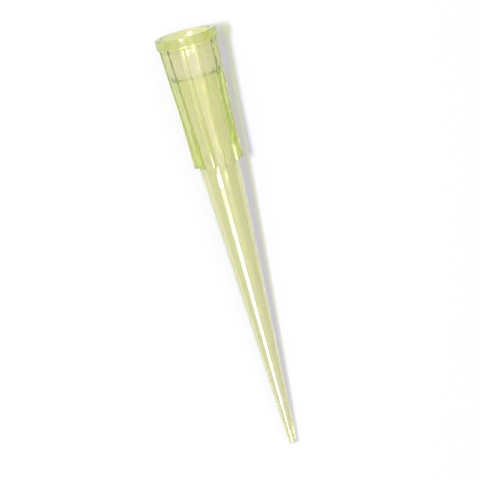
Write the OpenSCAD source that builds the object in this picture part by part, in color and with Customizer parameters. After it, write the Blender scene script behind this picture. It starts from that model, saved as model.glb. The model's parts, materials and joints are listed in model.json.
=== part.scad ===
// Pipette tip for 200 microlitre air-displacement pipettes, moulded in one piece.
// It lies on its side on the ground plane, mouth towards -X and point towards +X.
// Millimetres, +Z up. The origin is under the middle of the tip, on the ground plane.

/* [Length] */
// Length from the mouth to the point
tip_l = 50.8; // [46:0.1:56]

/* [Mouth recess] */
// Bore of the mouth recess, which clears the nozzle above its sealing cone
recess_d = 5.7; // [5.4:0.05:6]
// Depth of the mouth recess
recess_depth = 4.8; // [3.8:0.1:6]
// Lead-in chamfer at the mouth
lead_in = 0.25; // [0.1:0.05:0.35]
// Wall of the recess just under the collar
neck_wall = 0.45; // [0.35:0.05:0.6]
// Wall of the recess at its bottom
recess_wall = 0.3; // [0.25:0.05:0.5]

/* [Nozzle seat] */
// Diameter at which the sealing cone starts
seat_d = 5.1; // [4.9:0.05:5.3]
// Diameter at which the sealing cone ends
seat_end_d = 4.5; // [4.2:0.05:4.7]
// Length of the sealing cone
seat_l = 7.5; // [5.5:0.1:9]

/* [Collar] */
// Height of the collar round the mouth
collar_h = 1.2; // [0.9:0.05:2]
// How far the collar stands out beyond the ribs
collar_lip = 0.2; // [0.15:0.05:0.4]
// Rounding of the collar's two outer edges
collar_round = 0.15; // [0.1:0.05:0.35]

/* [Ribs] */
// Number of ribs round the head
rib_count = 10; // [8:1:16]
// Width of a rib's crest at its square end
rib_w = 0.3; // [0.2:0.05:0.6]
// Draft of a rib's flanks, in degrees
rib_draft = 25; // [0:1:35]
// Distance from the mouth to the square ends of the ribs
rib_end = 15.8; // [14.4:0.1:18]
// Distance from the mouth to the knee, below which the ribs run nearly straight
rib_knee = 8.8; // [7:0.1:11]
// Rise of a rib over the wall at the collar
rib_rise_top = 0.2; // [0.1:0.05:0.35]
// Rise of a rib over the wall at the knee
rib_rise_knee = 0.19; // [0.1:0.01:0.3]
// Rise of a rib over the wall at its square end
rib_rise_end = 0.5; // [0.3:0.02:0.8]

/* [Body] */
// Wall of the body at the rib ends
body_wall = 0.36; // [0.25:0.01:0.5]
// Length of the fine end, which tapers less than the body
fine_l = 4; // [2.5:0.1:7]
// Bore where the fine end starts
fine_d = 0.9; // [0.75:0.05:1.2]
// Wall where the fine end starts
fine_wall = 0.24; // [0.2:0.01:0.4]

/* [Point] */
// Bore of the orifice
orifice_d = 0.45; // [0.35:0.01:0.6]
// Length of the orifice's straight land
land_l = 1.8; // [1:0.1:2.2]
// Wall at the very end of the point
point_wall = 0.22; // [0.15:0.01:0.35]

/* [Hidden] */
$fn = 96;
eps = 0.1; // overshoot where one form is cut through or trimmed by another

// Bore: each station is [distance from the mouth, radius].
recess_r = recess_d / 2;
seat_start = recess_depth + (recess_d - seat_d) / 2;
seat_stop = seat_start + seat_l;
fine_start = tip_l - fine_l;
bore_line = [
    [0, recess_r + lead_in],
    [lead_in, recess_r],
    [recess_depth, recess_r],
    [seat_start, seat_d / 2],
    [seat_stop, seat_end_d / 2],
    [fine_start, fine_d / 2],
    [tip_l - land_l, orifice_d / 2],
    [tip_l, orifice_d / 2]
];
function bore_r(z) = lookup(z, bore_line);

// Wall: the outside follows the bore at the stations where the wall is named.
point_r = orifice_d / 2 + point_wall;
wall_line = [
    [0, recess_r + neck_wall],
    [collar_h, recess_r + neck_wall],
    [recess_depth, recess_r + recess_wall],
    [rib_end, bore_r(rib_end) + body_wall],
    [fine_start, bore_r(fine_start) + fine_wall],
    [tip_l, point_r]
];
function wall_r(z) = lookup(z, wall_line);

// Ribs: the line that their crests follow.
crest_top_r = wall_r(collar_h) + rib_rise_top;
crest_end_r = wall_r(rib_end) + rib_rise_end;
crest_line = [
    [0, crest_top_r],
    [collar_h, crest_top_r],
    [rib_knee, wall_r(rib_knee) + rib_rise_knee],
    [rib_end, crest_end_r]
];
crest_corner = sqrt(crest_end_r ^ 2 - (rib_w / 2) ^ 2);
rib_lean = atan2(crest_top_r - crest_end_r, rib_end - collar_h);
rib_root = rib_rise_end + body_wall / 2; // depth of a rib's foot inside the wall, below its crest
collar_r = crest_top_r + collar_lip;

// Rest: the collar's lower edge is on the ground, and the front comes down until the ends of
// the two lowest ribs, or the point, touch it. Depths are measured down from the axis.
rib_half_pitch = 180 / rib_count;
foot_depth = crest_end_r * cos(rib_half_pitch - asin(rib_w / 2 / crest_end_r));
edge_z = collar_h - collar_round;
edge_depth = collar_r - collar_round;
function lie_on(z, depth) = atan2(edge_depth - depth, z - edge_z)
    + asin(collar_round / norm([z - edge_z, edge_depth - depth]));
lie = min(lie_on(rib_end, foot_depth), lie_on(tip_l, point_r));
mouth_height = edge_depth * cos(lie) + edge_z * sin(lie) + collar_round;
reach_back = collar_round * cos(lie) - edge_depth * sin(lie) - collar_round;
reach_front = tip_l * cos(lie) + point_r * sin(lie);
mouth_x = -(reach_back + reach_front) / 2;

// Area between the axis and a line of [distance from the mouth, radius] stations.
module under(line) {
    last = len(line) - 1;
    polygon(concat(
        [[0, line[0][0]]],
        [for (station = line) [station[1], station[0]]],
        [[0, line[last][0]]]
    ));
}

// Half section of the collar: a ring with both outer edges rounded.
module collar_section() {
    square([edge_depth, collar_h]);
    translate([0, collar_round]) square([collar_r, collar_h - 2 * collar_round]);
    for (z = [collar_round, edge_z])
        translate([edge_depth, z]) circle(collar_round);
}

// Outside of the wall and of the collar, still solid.
module outside() {
    rotate_extrude() {
        under(wall_line);
        collar_section();
    }
}

// Section of a rib, seen from its crest corners: a narrow crest on drafted flanks.
module rib_section() {
    spread = tan(rib_draft);
    polygon([
        [eps, rib_w / 2 - eps * spread],
        [-rib_root, rib_w / 2 + rib_root * spread],
        [-rib_root, -rib_w / 2 - rib_root * spread],
        [eps, -rib_w / 2 + eps * spread]
    ]);
}

// Long ribs: drafted bars from inside the collar to the square ends, trimmed to the crest line.
module ribs() {
    run = (rib_end - collar_h / 2) / cos(rib_lean);
    intersection() {
        rotate_extrude() under(crest_line);
        for (turn = [0 : rib_count - 1])
            rotate([0, 0, turn * 360 / rib_count])
                translate([crest_corner, 0, rib_end])
                    rotate([0, -rib_lean, 0])
                        translate([0, 0, -run])
                            linear_extrude(run + eps) rib_section();
    }
}

// Recess, sealing cone, long taper and orifice land, cut from end to end.
module bore() {
    mouth_r = bore_line[0][1];
    rotate_extrude() under(concat([[-eps, mouth_r]], bore_line, [[tip_l + eps, orifice_d / 2]]));
}

// Tip on its own axis, mouth at the bottom.
module tip_on_axis() {
    difference() {
        union() {
            outside();
            ribs();
        }
        bore();
    }
}

// Tip as it lies, with the gap between two ribs turned down.
module pipette_tip() {
    color([0.87, 0.9, 0.56])
        translate([mouth_x, 0, mouth_height])
            rotate([0, 90 + lie, 0])
                rotate([0, 0, rib_half_pitch])
                    tip_on_axis();
}

pipette_tip();
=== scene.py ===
# %% [markdown]
# # A pipette tip, lying on a white table
#
# The object is one loose tip for a 200 microlitre pipette: a hollow cone of
# pale yellow polypropylene, 50.8 mm long, moulded in one shot. The measured
# solid comes first and fixes the size and the place. The tip you see is
# modelled again over it, because a mesh that is made for looks has rounded
# edges and clean loops, which clear plastic shows up more than anything else.

import json
from math import asin, atan2, cos, degrees, hypot, pi, radians, sin, sqrt, tan

import bmesh
import bpy
from mathutils import Matrix, Vector


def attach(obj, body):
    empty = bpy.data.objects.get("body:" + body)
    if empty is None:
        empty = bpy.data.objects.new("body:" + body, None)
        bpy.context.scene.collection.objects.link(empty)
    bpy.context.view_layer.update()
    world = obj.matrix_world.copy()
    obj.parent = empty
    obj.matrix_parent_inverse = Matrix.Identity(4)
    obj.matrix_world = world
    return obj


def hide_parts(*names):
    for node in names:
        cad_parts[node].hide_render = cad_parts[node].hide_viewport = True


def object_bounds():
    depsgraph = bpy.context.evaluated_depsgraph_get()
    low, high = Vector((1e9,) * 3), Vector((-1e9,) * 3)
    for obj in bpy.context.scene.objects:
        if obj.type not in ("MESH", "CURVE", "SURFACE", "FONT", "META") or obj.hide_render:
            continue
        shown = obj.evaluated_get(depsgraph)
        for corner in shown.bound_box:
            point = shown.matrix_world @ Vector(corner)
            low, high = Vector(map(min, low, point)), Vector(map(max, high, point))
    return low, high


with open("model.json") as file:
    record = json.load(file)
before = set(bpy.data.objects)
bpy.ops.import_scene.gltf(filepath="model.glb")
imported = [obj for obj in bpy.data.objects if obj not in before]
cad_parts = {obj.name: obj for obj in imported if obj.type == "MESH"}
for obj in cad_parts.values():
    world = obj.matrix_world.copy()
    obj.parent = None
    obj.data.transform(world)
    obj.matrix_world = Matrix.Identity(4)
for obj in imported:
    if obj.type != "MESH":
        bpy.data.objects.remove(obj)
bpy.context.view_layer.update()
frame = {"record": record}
MM = 0.001

# %% [markdown]
# ## Where the tip lies
#
# It is far easier to model a turned thing standing on its own axis, mouth at
# zero and point upwards, and to lay it down at the end with one matrix. The
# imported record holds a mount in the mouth, with a place and a direction, and
# those two give the axis of the tip as it lies. It slopes, because the wide
# collar holds the mouth up while the square ends of two ribs carry the middle.

# %% Axis and mouth from the record
LEAD_IN = 0.25
RECESS_DEPTH = 4.8


def placing(x_axis, y_axis, z_axis, origin):
    """Matrix that turns a thing to three axes and moves it to an origin."""
    matrix = Matrix((x_axis, y_axis, z_axis)).transposed().to_4x4()
    matrix.translation = origin
    return matrix


mount = next(m for m in frame["record"]["mounts"] if m["name"] == "mouth")
axis = -Vector(mount["axis"]).normalized()  # the mount looks out, the axis runs in
mouth_centre = Vector(mount["pos_m"]) - axis * (LEAD_IN + RECESS_DEPTH) / 2 * MM
across = Vector((0, 1, 0))
lay_down = placing(across, axis.cross(across), axis, mouth_centre)
print("slope of the axis, degrees:", round(degrees(asin(-axis.z)), 3))

# %% [markdown]
# ## Sizes along the tip
#
# Three lines describe the whole tip: the bore, the outside of the wall, and
# the crests of the ribs. Each is a short list of stations, written as distance
# from the mouth and radius, in millimetres. A helper reads any line between
# two stations. The step inside the mouth, where the recess meets the seat of
# the nozzle, is eased by about a tenth of a millimetre. In clear plastic a
# sharper step would draw a hard dark ring round the head.

# %% The three lines
TIP_LENGTH = 50.8
COLLAR_HEIGHT = 1.2
COLLAR_RADIUS = 3.7
COLLAR_ROUND = 0.15
KNEE = 8.8
RIB_END = 15.8
SEAT_START, SEAT_END = 5.1, 12.6
FINE_START = 46.8
LAND_START = 49.0
RECESS_RADIUS, SEAT_RADIUS = 2.85, 2.55
ORIFICE_RADIUS, POINT_RADIUS = 0.225, 0.445
STEP_EASE = 0.12
STEP_TOP, STEP_FOOT = RECESS_DEPTH - STEP_EASE, SEAT_START + STEP_EASE
BORE = [(LEAD_IN, RECESS_RADIUS), (STEP_TOP, RECESS_RADIUS), (STEP_FOOT, SEAT_RADIUS),
        (SEAT_END, 2.25), (FINE_START, 0.45), (LAND_START, ORIFICE_RADIUS),
        (TIP_LENGTH, ORIFICE_RADIUS)]
WALL = [(COLLAR_HEIGHT, 3.3), (RECESS_DEPTH, 3.15), (RIB_END, 2.442), (FINE_START, 0.69),
        (TIP_LENGTH, POINT_RADIUS)]
CREST = [(COLLAR_HEIGHT, 3.5), (KNEE, 3.082), (RIB_END, 2.942)]


def radius_at(line, distance):
    """Radius of a line at a distance from the mouth."""
    if distance <= line[0][0]:
        return line[0][1]
    for (d0, r0), (d1, r1) in zip(line, line[1:]):
        if distance <= d1:
            return r0 + (r1 - r0) * (distance - d0) / (d1 - d0)
    return line[-1][1]


print("wall under the ribs, mm:", round(radius_at(WALL, KNEE) - radius_at(BORE, KNEE), 3))

# %% [markdown]
# ## Outline of a rib
#
# Ten long ribs stiffen the head. A moulded rib has draft: it is narrow at its
# crest and widens on its way down to the wall, so that the mould lets go of it.
# Its outline is not a wavy circle, then, but a crest, two crisp edges, two flat
# sloping flanks and a small fillet where each flank meets the wall. The edges
# catch the light as fine lines, so they are worth three points each. The
# outline below runs from the middle of the crest to the middle of the gap in
# thirteen points.

# %% Half of a rib, from the crest to the gap
RIBS = 10
HALF_RIB = 0.15
DRAFT = radians(25)
EDGE_ROUND = 0.05
ROOT_FILLET = 0.06
MOST_OF_RISE = 0.4  # a rounding takes no more of a low rib than this
HALF_COLUMNS = 12
GAP_MIDDLE = pi / RIBS


def on_circle(radius, turn):
    """Point of a circle round the axis."""
    return Vector((cos(turn), sin(turn))) * radius


def rib_outline(wall, crest, half_width):
    """Points of half a rib, as distance along the rib's middle plane and across it."""
    edge = min(EDGE_ROUND, MOST_OF_RISE * (crest - wall))
    root = min(ROOT_FILLET, MOST_OF_RISE * (crest - wall))
    flank = Vector((-cos(DRAFT), sin(DRAFT)))
    corner = Vector((sqrt(crest ** 2 - half_width ** 2), half_width))
    fall = -corner.dot(flank)
    foot = corner + flank * (fall - sqrt(fall ** 2 - crest ** 2 + wall ** 2))
    shoulder = asin(half_width / crest) - edge / crest
    start = atan2(foot.y, foot.x) + root / wall
    on_crest = on_circle(crest, shoulder)
    on_wall = on_circle(wall, start)
    top = corner + flank * edge
    low = foot - flank * root
    points = [
        on_circle(crest, 0),
        on_circle(crest, shoulder / 2),
        on_crest,
        (on_crest + 2 * corner + top) / 4,
        top,
        (top + low) / 2,
        low,
        (low + 2 * foot + on_wall) / 4,
        on_wall,
    ]
    left = HALF_COLUMNS + 1 - len(points)
    points += [on_circle(wall, start + (GAP_MIDDLE - start) * n / left) for n in range(1, left + 1)]
    return points


print("points in half a rib:", len(rib_outline(WALL[0][1], CREST[0][1], HALF_RIB)))

# %% [markdown]
# ## Rows of the ribbed head
#
# The ribs start under the collar, bend at a knee and stop in a square end, the
# step that hangs a tip in its rack. Each row below is one ring of the mesh: its
# distance from the mouth, how far the crest is lifted, how much half the crest
# is widened, and how much the wall swells. The rows crowd at both ends. At the
# collar they make a small fillet, and at the square end they round the edge and
# then drop down the face to the wall. A rib is a straight bar with sloping
# sides, cut off at the line of the crests, so its crest is a little wider where
# that line dips.

# %% Ring by ring
COLLAR_FILLET = 0.03
MID_ROUND = 0.3 * EDGE_ROUND  # what a rounding has taken away at its middle
FACE_LEAN = 0.003  # keeps the rows of the square face apart
FOOT_RISE = 0.04   # what is left of a rib at the foot of that face
FOOT_RUN = 0.04    # how far past the face the wall is plain again
drop = radius_at(CREST, RIB_END) - radius_at(WALL, RIB_END) - FOOT_RISE
rib_rows = {
    COLLAR_HEIGHT: (COLLAR_FILLET, COLLAR_FILLET, COLLAR_FILLET),
    COLLAR_HEIGHT + COLLAR_FILLET: (0, 0, 0),
    RECESS_DEPTH: (0, 0, 0),
    KNEE: (0, 0, 0),
    RIB_END - EDGE_ROUND: (0, 0, 0),
    RIB_END - MID_ROUND: (-MID_ROUND, -MID_ROUND, 0),
    RIB_END: (-EDGE_ROUND, -EDGE_ROUND, 0),
    RIB_END + FACE_LEAN: (-drop, drop * tan(DRAFT) - EDGE_ROUND, 0),
}
foot_of_ribs = RIB_END + FOOT_RUN
straight_bar = [CREST[0], CREST[-1]]


def outline_at(distance):
    """Rib outline of a row, or of the head's nearest place for any other distance."""
    lift, widen, swell = rib_rows.get(distance, (0, 0, 0))
    near = min(max(distance, COLLAR_HEIGHT), RIB_END)
    dip = radius_at(straight_bar, near) - radius_at(CREST, near)
    half_width = HALF_RIB + dip * tan(DRAFT) + widen
    return rib_outline(radius_at(WALL, near) + swell, radius_at(CREST, near) + lift, half_width)


for distance in rib_rows:
    print("row at", round(distance, 3), "crest", round(outline_at(distance)[0].x, 3))

# %% [markdown]
# ## Half section
#
# The rest of the tip is a turned form, so it starts as a half section: a flat
# face in the plane through the axis. Its corners are rounded with a vertex
# bevel, each by the amount that the mould would leave: a generous edge on the
# collar, a soft bend at the inner step, small edges at the mouth and the point.
# The face is then deleted and only its outline is kept, ready to spin.

# %% Draw the section and round its corners
MOUTH_RADIUS = RECESS_RADIUS + LEAD_IN
ROUNDINGS = [  # radius, distance, size, segments
    (MOUTH_RADIUS, 0.0, 0.05, 3),
    (RECESS_RADIUS, LEAD_IN, 0.06, 3),
    (RECESS_RADIUS, STEP_TOP, 0.28, 5),
    (SEAT_RADIUS, STEP_FOOT, 0.28, 5),
    (ORIFICE_RADIUS, TIP_LENGTH, 0.06, 3),
    (POINT_RADIUS, TIP_LENGTH, 0.1, 4),
    (COLLAR_RADIUS, COLLAR_HEIGHT, COLLAR_ROUND, 5),
    (COLLAR_RADIUS, 0.0, COLLAR_ROUND, 5),
]


def draw_section(bm):
    """Half section as a face in the plane y = 0, in metres."""
    inside = [(MOUTH_RADIUS, 0.0)] + [(r, d) for d, r in BORE]
    outside = [(radius_at(WALL, d), d) for d in (TIP_LENGTH, FINE_START, foot_of_ribs)]
    head = [(radius_at(WALL, d), d) for d in sorted(rib_rows, reverse=True)]
    head[-1] = (head[-1][0] + COLLAR_FILLET, COLLAR_HEIGHT)
    collar = [(COLLAR_RADIUS, COLLAR_HEIGHT), (COLLAR_RADIUS, 0.0)]
    bm.faces.new([bm.verts.new((r * MM, 0, d * MM)) for r, d in inside + outside + head + collar])


def round_corner(bm, radius, distance, size, segments):
    """Rounds the corner of the section that lies at a radius and a distance."""
    place = Vector((radius * MM, 0, distance * MM))
    corner = min(bm.verts, key=lambda v: (v.co - place).length)
    bmesh.ops.bevel(bm, geom=[corner], offset=size * MM, offset_type="OFFSET", segments=segments,
                    profile=0.5, affect="VERTICES", material=-1, clamp_overlap=False)


tip_bm = bmesh.new()
draw_section(tip_bm)
for rounding in ROUNDINGS:
    round_corner(tip_bm, *rounding)
bmesh.ops.delete(tip_bm, geom=tip_bm.faces[:], context="FACES_ONLY")
print("section:", len(tip_bm.verts), "points,", len(tip_bm.edges), "edges")

# %% [markdown]
# ## Spin it
#
# A lathe in one call: the outline turns once round the axis in 240 steps, and
# use_merge welds the last copy to the first, so no seam is left open. There are
# 24 columns to each rib, as many as a rib outline needs.

# %% Turn the section
COLUMNS = 2 * HALF_COLUMNS * RIBS
bmesh.ops.spin(tip_bm, geom=tip_bm.verts[:] + tip_bm.edges[:], cent=(0, 0, 0), axis=(0, 0, 1),
               dvec=(0, 0, 0), angle=2 * pi, steps=COLUMNS, use_merge=True, use_normal_flip=False,
               use_duplicate=False)
print("turned:", len(tip_bm.verts), "points,", len(tip_bm.faces), "faces")

# %% [markdown]
# ## Raise the ribs
#
# The spin gives every rib row a plain circle. Each point of such a row now
# moves to its place on the rib outline. All other rings keep their radius, but
# their points turn by the same small amounts, so the columns stay straight from
# the collar to the point and no face is skewed.

# %% Move the columns
STEP = 2 * pi / COLUMNS
SAME_DISTANCE, SAME_RADIUS = 0.001, 0.01  # how near a point must be to count as on a row
row_radius = {d: radius_at(WALL, d) for d in rib_rows}
row_radius[COLLAR_HEIGHT] += COLLAR_FILLET


def row_of(distance, radius):
    """Rib row that a ring of the turned mesh belongs to, or None for a plain ring."""
    for row, r in row_radius.items():
        if abs(row - distance) < SAME_DISTANCE and abs(r - radius) < SAME_RADIUS:
            return row
    return None


def shape_column(vert):
    """Puts one point of the turned mesh on the rib outline, or lines it up with it."""
    radius = hypot(vert.co.x, vert.co.y) / MM
    distance = vert.co.z / MM
    column = round(atan2(vert.co.y, vert.co.x) / STEP) % COLUMNS
    place = (column + HALF_COLUMNS) % (2 * HALF_COLUMNS) - HALF_COLUMNS
    centre = (column - place) * STEP
    side = 1 if place >= 0 else -1
    row = row_of(distance, radius)
    along, sideways = outline_at(distance if row is None else row)[abs(place)]
    reach = radius if row is None else hypot(along, sideways)
    turn = centre + side * atan2(sideways, along)
    vert.co.x = reach * cos(turn) * MM
    vert.co.y = reach * sin(turn) * MM
    return row is not None


moved = sum(shape_column(v) for v in tip_bm.verts)
print("points on the ribs:", moved, "of", len(tip_bm.verts))

# %% [markdown]
# ## Cross loops
#
# The long cone is only a few rings from end to end, which leaves faces hundreds
# of times longer than they are wide. Flat cuts across the axis divide the wall
# and the bore at the same places. They change no shape, but shading and texture
# baking behave better on shorter faces.

# %% Cut rings along the cone
CUTS = (2.4, 3.6, 6.8, 11.1, 13.4, 18.5, 21.5, 24.5, 27.5, 30.5, 33.5, 36.5, 39.5, 42.0, 44.5, 48.0)
for distance in CUTS:
    bmesh.ops.bisect_plane(tip_bm, geom=tip_bm.verts[:] + tip_bm.edges[:] + tip_bm.faces[:],
                           dist=1e-8, plane_co=(0, 0, distance * MM), plane_no=(0, 0, 1))
bmesh.ops.recalc_face_normals(tip_bm, faces=tip_bm.faces[:])
for face in tip_bm.faces:
    face.smooth = True
open_edges = sum(not e.is_manifold for e in tip_bm.edges)
print("faces:", len(tip_bm.faces), "open edges:", open_edges,
      "plastic, mm3:", round(tip_bm.calc_volume(signed=True) / MM ** 3, 1))

# %% [markdown]
# ## Lay it down
#
# The matrix from the record moves the points themselves, so the object stays at
# the origin, unturned and unscaled. One modifier, Weighted Normal, finishes it:
# it lets the large faces decide the shading, so the long walls stay flat and
# only the thin roundings turn.

# %% Lay the tip down and make it the visible piece
def add_object(name, data):
    """Makes an object and puts it in the scene."""
    made = bpy.data.objects.new(name, data)
    bpy.context.scene.collection.objects.link(made)
    return made


def add_mesh(name, bm):
    """Makes a mesh object from a finished bmesh."""
    mesh = bpy.data.meshes.new(name)
    bm.to_mesh(mesh)
    bm.free()
    return add_object(name, mesh)


bmesh.ops.transform(tip_bm, matrix=lay_down, verts=tip_bm.verts[:])
tip = add_mesh("moulded_tip", tip_bm)
tip.modifiers.new("even shading", "WEIGHTED_NORMAL")
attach(tip, "root")
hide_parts("pipette_tip")
tip_low, tip_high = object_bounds()
print("visible box, mm:", [round(v / MM, 2) for v in (*tip_low, *tip_high)])

# %% [markdown]
# ## Tinted polypropylene
#
# Thin polypropylene is clear but never quite like glass: it is faintly hazy,
# and the melt leaves fine streaks along the way it ran. The colour is in the
# plastic, so the rims and the sides of the cone, where the eye looks along the
# wall, turn a strong yellow green. Volume absorption gives exactly that, and
# the surface adds a pale tint that waxes and wanes with the streaks. The cone is
# polished and takes a clear gloss. The head leaves the mould duller, so its
# coat is weaker. The cone's wall is so thin that the volume alone would leave
# it washed out, so its tint is multiplied by a second, yellower one.
#
# A lamp can't find its way through real glass in a render of this length. For
# shadow rays and for light that the table sends back, the plastic is therefore
# swapped for a transparent shader. That shader is bluish, only to make up for
# the yellow that the volume adds, so the shadow stays a pale grey.

# %% Nodes by name
def clear_nodes(owner):
    """Turns on the nodes of a material or a world and gives back its empty tree."""
    owner.use_nodes = True
    owner.node_tree.nodes.clear()
    return owner.node_tree


def new_node(tree, kind, **sockets):
    """Adds a node and sets its inputs by name."""
    node = tree.nodes.new(kind)
    for name, value in sockets.items():
        node.inputs[name.replace("_", " ")].default_value = value
    return node


def link(output, socket):
    """Joins an output to an input of the same tree."""
    output.id_data.links.new(output, socket)


def combine(tree, operation, *values):
    """Math node over sockets and plain numbers."""
    node = tree.nodes.new("ShaderNodeMath")
    node.operation = operation
    for socket, value in zip(node.inputs, values):
        if isinstance(value, (int, float)):
            socket.default_value = value
        else:
            link(value, socket)
    return node.outputs["Value"]


plastic = bpy.data.materials.new("yellow_polypropylene")
tree = clear_nodes(plastic)
print("empty material:", plastic.name)

# %% Streaks of the melt
FAINT, STRONG = 0.3, 0.7  # range of the noise that the streaks use
FAINT_TINT = (0.955, 0.917, 0.895, 1)
STRONG_TINT = (0.967, 0.932, 0.91, 1)
place = new_node(tree, "ShaderNodeTexCoord")
stretch = new_node(tree, "ShaderNodeMapping", Scale=(0.12, 1.0, 1.0))
link(place.outputs["Object"], stretch.inputs["Vector"])
flow = new_node(tree, "ShaderNodeTexNoise", Scale=1800.0, Detail=3.0, Roughness=0.55)
link(stretch.outputs["Vector"], flow.inputs["Vector"])
haze = new_node(tree, "ShaderNodeMapRange", From_Min=FAINT, From_Max=STRONG, To_Min=0.17,
                To_Max=0.23)
link(flow.outputs["Fac"], haze.inputs["Value"])
ripple = new_node(tree, "ShaderNodeBump", Strength=0.04, Distance=0.00005)
link(flow.outputs["Fac"], ripple.inputs["Height"])
tint = new_node(tree, "ShaderNodeValToRGB")
for stop, position, shade in zip(tint.color_ramp.elements, (FAINT, STRONG), (FAINT_TINT, STRONG_TINT)):
    stop.position = position
    stop.color = shade
link(flow.outputs["Fac"], tint.inputs["Fac"])
print("nodes for the streaks:", len(tree.nodes))

# %% Finish of the head and of the cone
HEAD_GLOSS, CONE_GLOSS = 0.2, 1.0
CONE_POLISH = 0.05  # how much less rough the cone is
CONE_TINT = (0.985, 1.0, 0.9, 1)
rib_end_x = (mouth_centre + axis * RIB_END * MM).x
along_tip = new_node(tree, "ShaderNodeSeparateXYZ")
link(place.outputs["Object"], along_tip.inputs["Vector"])
cone = new_node(tree, "ShaderNodeMapRange", From_Min=rib_end_x - 0.2 * MM,
                From_Max=rib_end_x + 0.6 * MM)
link(along_tip.outputs["X"], cone.inputs["Value"])
on_cone = cone.outputs["Result"]
gloss = combine(tree, "MULTIPLY_ADD", on_cone, CONE_GLOSS - HEAD_GLOSS, HEAD_GLOSS)
roughness = combine(tree, "MULTIPLY_ADD", on_cone, -CONE_POLISH, haze.outputs["Result"])
colour = new_node(tree, "ShaderNodeMixRGB", Color2=CONE_TINT)
colour.blend_type = "MULTIPLY"
link(on_cone, colour.inputs["Fac"])
link(tint.outputs["Color"], colour.inputs["Color1"])
print("finish changes at x, mm:", round(rib_end_x / MM, 2))

# %% Plastic, shadow and depth of colour
HEAD_SHADOW = (0.772, 0.743, 1.0, 1)    # thick walls
CONE_SHADOW = (0.772, 0.745, 0.955, 1)  # thin walls
surface = new_node(tree, "ShaderNodeBsdfPrincipled", IOR=1.49, Transmission_Weight=0.9,
                   Coat_Roughness=0.12, Coat_IOR=2.0)
link(colour.outputs["Color"], surface.inputs["Base Color"])
link(roughness, surface.inputs["Roughness"])
link(gloss, surface.inputs["Coat Weight"])
link(ripple.outputs["Normal"], surface.inputs["Normal"])
lamp_light = new_node(tree, "ShaderNodeValToRGB")
lamp_light.color_ramp.elements[0].color = HEAD_SHADOW
lamp_light.color_ramp.elements[1].color = CONE_SHADOW
link(on_cone, lamp_light.inputs["Fac"])
pass_through = new_node(tree, "ShaderNodeBsdfTransparent")
link(lamp_light.outputs["Color"], pass_through.inputs["Color"])
rays = new_node(tree, "ShaderNodeLightPath")
stand_in = combine(tree, "MAXIMUM", rays.outputs["Is Shadow Ray"], rays.outputs["Is Diffuse Ray"])
mix = new_node(tree, "ShaderNodeMixShader")
link(stand_in, mix.inputs["Fac"])
link(surface.outputs["BSDF"], mix.inputs[1])
link(pass_through.outputs["BSDF"], mix.inputs[2])
depth = new_node(tree, "ShaderNodeVolumeAbsorption", Color=(0.869, 0.952, 0.04, 1), Density=900.0)
finish = new_node(tree, "ShaderNodeOutputMaterial")
link(mix.outputs["Shader"], finish.inputs["Surface"])
link(depth.outputs["Volume"], finish.inputs["Volume"])
tip.data.materials.append(plastic)
print("material:", plastic.name, "with", len(tree.nodes), "nodes")

# %% [markdown]
# ## Table
#
# A plain white sheet, wide enough to fill the view from every side. To the eye
# it should be paper white, but the tip still has to throw a shadow on it. So
# the sheet is an ordinary matt surface, and a little extra light is added to it
# only for rays that come from the camera or a reflection. Seen through the
# plastic it is mostly plain white, because the walls bend and scatter the light
# so much that no shadow shows through them.

# %% Sheet
SHEET = 3.0
sheet_bm = bmesh.new()
bmesh.ops.create_grid(sheet_bm, x_segments=2, y_segments=2, size=SHEET / 2)
table = add_mesh("table", sheet_bm)
print("table:", SHEET, "m wide")

# %% White of the sheet
WHITE = (1, 1, 1, 1)
LIFT = 0.24                   # extra light for the eye and for reflections
WHITE_THROUGH_PLASTIC = 0.85  # share of plain white in what the plastic shows
paper = bpy.data.materials.new("white_sheet")
tree = clear_nodes(paper)
rays = new_node(tree, "ShaderNodeLightPath")
seen = combine(tree, "MAXIMUM", rays.outputs["Is Camera Ray"], rays.outputs["Is Glossy Ray"])
through = combine(tree, "MULTIPLY", rays.outputs["Is Transmission Ray"], WHITE_THROUGH_PLASTIC)
matt = new_node(tree, "ShaderNodeBsdfDiffuse", Color=(0.8, 0.8, 0.8, 1))
lift = new_node(tree, "ShaderNodeEmission", Color=WHITE)
link(combine(tree, "MULTIPLY", seen, LIFT), lift.inputs["Strength"])
both = new_node(tree, "ShaderNodeAddShader")
link(matt.outputs["BSDF"], both.inputs[0])
link(lift.outputs["Emission"], both.inputs[1])
plain = new_node(tree, "ShaderNodeEmission", Color=WHITE, Strength=1.0)
sheet = new_node(tree, "ShaderNodeMixShader")
link(through, sheet.inputs["Fac"])
link(both.outputs["Shader"], sheet.inputs[1])
link(plain.outputs["Emission"], sheet.inputs[2])
finish = new_node(tree, "ShaderNodeOutputMaterial")
link(sheet.outputs["Shader"], finish.inputs["Surface"])
table.data.materials.append(paper)
print("material:", paper.name, "with", len(tree.nodes), "nodes")

# %% [markdown]
# ## Camera
#
# The tip is seen from high above and a little from its mouth, so that the ring
# of the mouth shows as a thin ellipse. It runs down the picture, from the mouth
# at the upper left to the point at the lower right. The lens is long and stands
# back, as it would for a wide tableful of tips of which this is one. A few
# degrees to the picture's right bring the gap between two ribs, and the streak
# on the cone, to the left of the middle.

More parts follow.
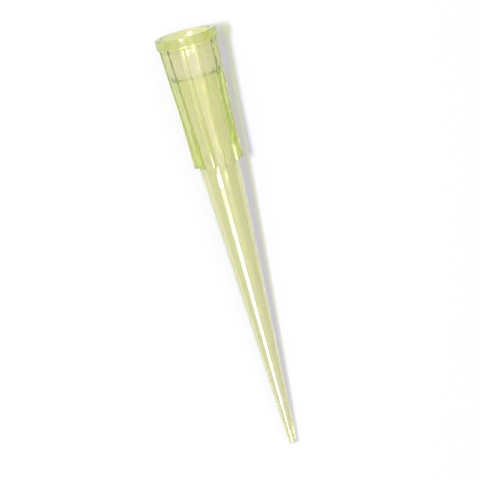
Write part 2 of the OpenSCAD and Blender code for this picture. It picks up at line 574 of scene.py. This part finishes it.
# %% Place the camera
LEAN = radians(7.1)   # towards the mouth, away from straight down
SIDE = radians(4)     # towards the picture's right
ROLL = radians(15)    # of the tip's axis in the picture
DISTANCE = 0.44
SENSOR, LENS = 36, 280
back = Vector((-sin(LEAN), -sin(SIDE), cos(LEAN))).normalized()
picture_up = Vector((-cos(ROLL), sin(ROLL), 0))
picture_up = (picture_up - back * picture_up.dot(back)).normalized()
picture_right = picture_up.cross(back)
target = Vector((0, 0, 3 * MM))
camera = add_object("camera", bpy.data.cameras.new("camera"))
camera.matrix_world = placing(picture_right, picture_up, back, target + back * DISTANCE)
camera.data.sensor_width = SENSOR
camera.data.lens = LENS
camera.data.clip_start = 0.01
bpy.context.scene.camera = camera
print("picture width at the tip, mm:", round(SENSOR / LENS * DISTANCE / MM, 1))

# %% [markdown]
# ## Light
#
# A small softbox stands high up at the left of the picture and pushes a shadow
# out to the right. The edge of a shadow is as soft as its lamp is wide, so this
# lamp is narrow. The long white streak down the cone needs a wide one, in
# another place: the cone falls away towards the point, so it mirrors the room
# well past the point. A second softbox hangs there. Only gloss sees it, which is
# set by the ray visibility of its object, so it draws the streak and throws no
# shadow of its own. A plain white world fills in the rest. It shows as full
# white only where the camera sees it, past the table or through the plastic.

# %% Softboxes
LAMP_ELEVATION = radians(65)
LAMP_DISTANCE = 0.6


def softbox(name, along, size, watts):
    """Area light at the picture's left, moved along the tip's axis and aimed at the tip."""
    data = bpy.data.lights.new(name, "AREA")
    data.shape = "RECTANGLE"
    data.size, data.size_y = size
    data.energy = watts
    flat_left = -Vector((picture_right.x, picture_right.y, 0)).normalized()
    raised = flat_left * cos(LAMP_ELEVATION) + Vector((0, 0, 1)) * sin(LAMP_ELEVATION)
    z = (raised + axis * along).normalized()
    y = (axis - z * axis.dot(z)).normalized()
    lamp = add_object(name, data)
    lamp.matrix_world = placing(y.cross(z), y, z, target + z * LAMP_DISTANCE)
    return lamp


key = softbox("key", 0.0, (0.05, 0.12), 2.72)
glint = softbox("glint", 0.75, (0.25, 0.3), 2.4)
glint.visible_diffuse = False
glint.visible_transmission = False
for lamp in (key, glint):
    print(lamp.name, "softbox at, m:", [round(v, 3) for v in lamp.matrix_world.translation])

# %% World
FILL = 0.3
world = bpy.data.worlds.new("plain white")
bpy.context.scene.world = world
tree = clear_nodes(world)
rays = new_node(tree, "ShaderNodeLightPath")
seen = combine(tree, "MAXIMUM", rays.outputs["Is Camera Ray"], rays.outputs["Is Transmission Ray"])
fill = new_node(tree, "ShaderNodeBackground", Color=WHITE, Strength=FILL)
seen_white = new_node(tree, "ShaderNodeBackground", Color=WHITE, Strength=1.0)
switch = new_node(tree, "ShaderNodeMixShader")
link(seen, switch.inputs["Fac"])
link(fill.outputs["Background"], switch.inputs[1])
link(seen_white.outputs["Background"], switch.inputs[2])
finish = new_node(tree, "ShaderNodeOutputWorld")
link(switch.outputs["Shader"], finish.inputs["Surface"])
print("world:", world.name)

# %% [markdown]
# ## Colour
#
# The Standard view shows colours as they were written, without a film look.
# Smooth roundings may only take material away, so the visible box has to lie
# within the measured one.

# %% Plain colour
bpy.context.scene.view_settings.view_transform = "Standard"
